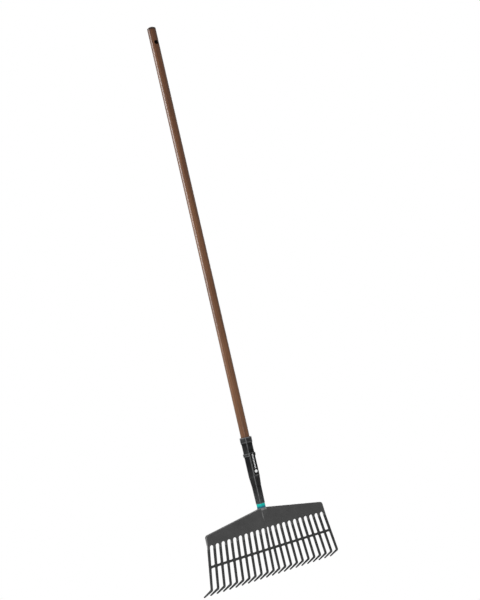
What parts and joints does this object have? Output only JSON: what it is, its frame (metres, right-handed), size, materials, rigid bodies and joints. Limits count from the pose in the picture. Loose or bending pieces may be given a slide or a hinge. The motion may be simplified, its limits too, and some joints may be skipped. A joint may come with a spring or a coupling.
{
  "type": "leaf rake",
  "caption": "Leaf rake with a round wooden pole, a hexagonal moulded socket and a wide fan head of hooked tines joined by a tie bar; hung by a hole in the pole.",
  "frame": {"origin": "centre of the hang hole, on the pole's axis", "axes": "+Z along the pole towards its domed end, +X along the row of tines, +Y towards the side that the tines' hooks point to"},
  "size_m": [0.4508, 0.0659, 1.6971],
  "materials": {
    "pole_wood": "stained and lacquered hardwood pole, fine long grain",
    "socket_black": "black moulded plastic, fine grain, slightly satin",
    "badge_black": "smoother black plastic",
    "mark_light": "pale grey print-like inlay",
    "ring_teal": "teal moulded plastic",
    "head_grey": "dark grey moulded plastic, fine matt grain",
    "screw_steel": "zinc-plated steel"
  },
  "bodies": {
    "root": {"handle": "pole_wood", "socket_sleeve": "socket_black", "socket_body": "socket_black", "badge_plate": "badge_black", "badge_inlay": "mark_light", "colour_ring": "ring_teal", "pole_screw": "screw_steel", "tang_screw": "screw_steel", "blade": "head_grey", "tie_bar": "head_grey", "tine_01": "head_grey", "tine_02": "head_grey", "tine_03": "head_grey", "tine_04": "head_grey", "tine_05": "head_grey", "tine_06": "head_grey", "tine_07": "head_grey", "tine_08": "head_grey", "tine_09": "head_grey", "tine_10": "head_grey", "tine_11": "head_grey", "tine_12": "head_grey", "tine_13": "head_grey", "tine_14": "head_grey", "tine_15": "head_grey", "tine_16": "head_grey", "tine_17": "head_grey", "tine_18": "head_grey", "tine_19": "head_grey", "tine_20": "head_grey", "tine_21": "head_grey", "tine_22": "head_grey"}
  },
  "joints": []
}
